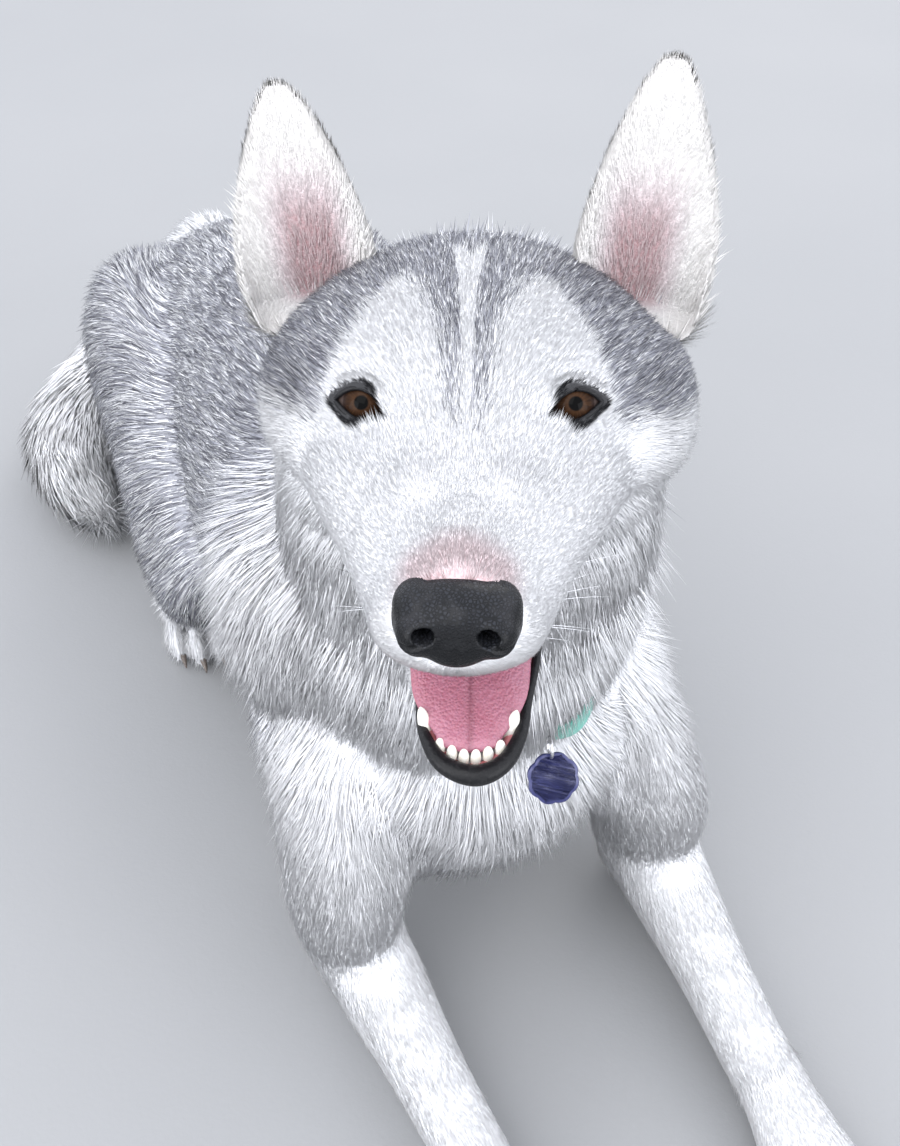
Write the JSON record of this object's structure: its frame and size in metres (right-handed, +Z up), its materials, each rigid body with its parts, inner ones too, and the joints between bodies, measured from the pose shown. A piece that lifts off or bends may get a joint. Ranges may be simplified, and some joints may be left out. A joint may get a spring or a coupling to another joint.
{
  "type": "siberian husky dog, lying with head raised",
  "caption": "Life-size siberian husky in a still pose: lying, forelegs stretched out, head raised, mouth open, tail curled round the haunch; grey and white coat.",
  "frame": {"origin": "on the floor under the middle of the dog's outline, the dog lying in its pose", "axes": "+Z up; the face looks along -Y; the dog's left is +X; its trunk runs back along +Y, turned 21 degrees towards -X"},
  "size_m": [0.5946, 0.8882, 0.5411],
  "materials": {
    "coat_white": "soft white hair",
    "coat_grey": "soft grey hair",
    "coat_cream": "short cream hair",
    "eye_brown": "wet and clear",
    "nose_leather": "damp pebbled leather",
    "tongue": "wet",
    "collar_web": "woven web",
    "tag_enamel": "enamel"
  },
  "bodies": {
    "root": {"ear_left": "coat_cream", "eye_left": "eye_brown", "shoulder_left": "coat_white", "forearm_left": "coat_white", "forepaw_left": "coat_white", "thigh_left": "coat_grey", "shank_left": "coat_white", "hindpaw_left": "coat_white", "ear_right": "coat_cream", "eye_right": "eye_brown", "shoulder_right": "coat_white", "forearm_right": "coat_white", "forepaw_right": "coat_white", "thigh_right": "coat_grey", "shank_right": "coat_white", "hindpaw_right": "coat_white", "head": "coat_white", "jaw": "coat_white", "nose": "nose_leather", "tongue": "tongue", "neck": "coat_white", "trunk": "coat_grey", "tail": "coat_white", "collar": "collar_web", "tag": "tag_enamel"}
  },
  "joints": []
}
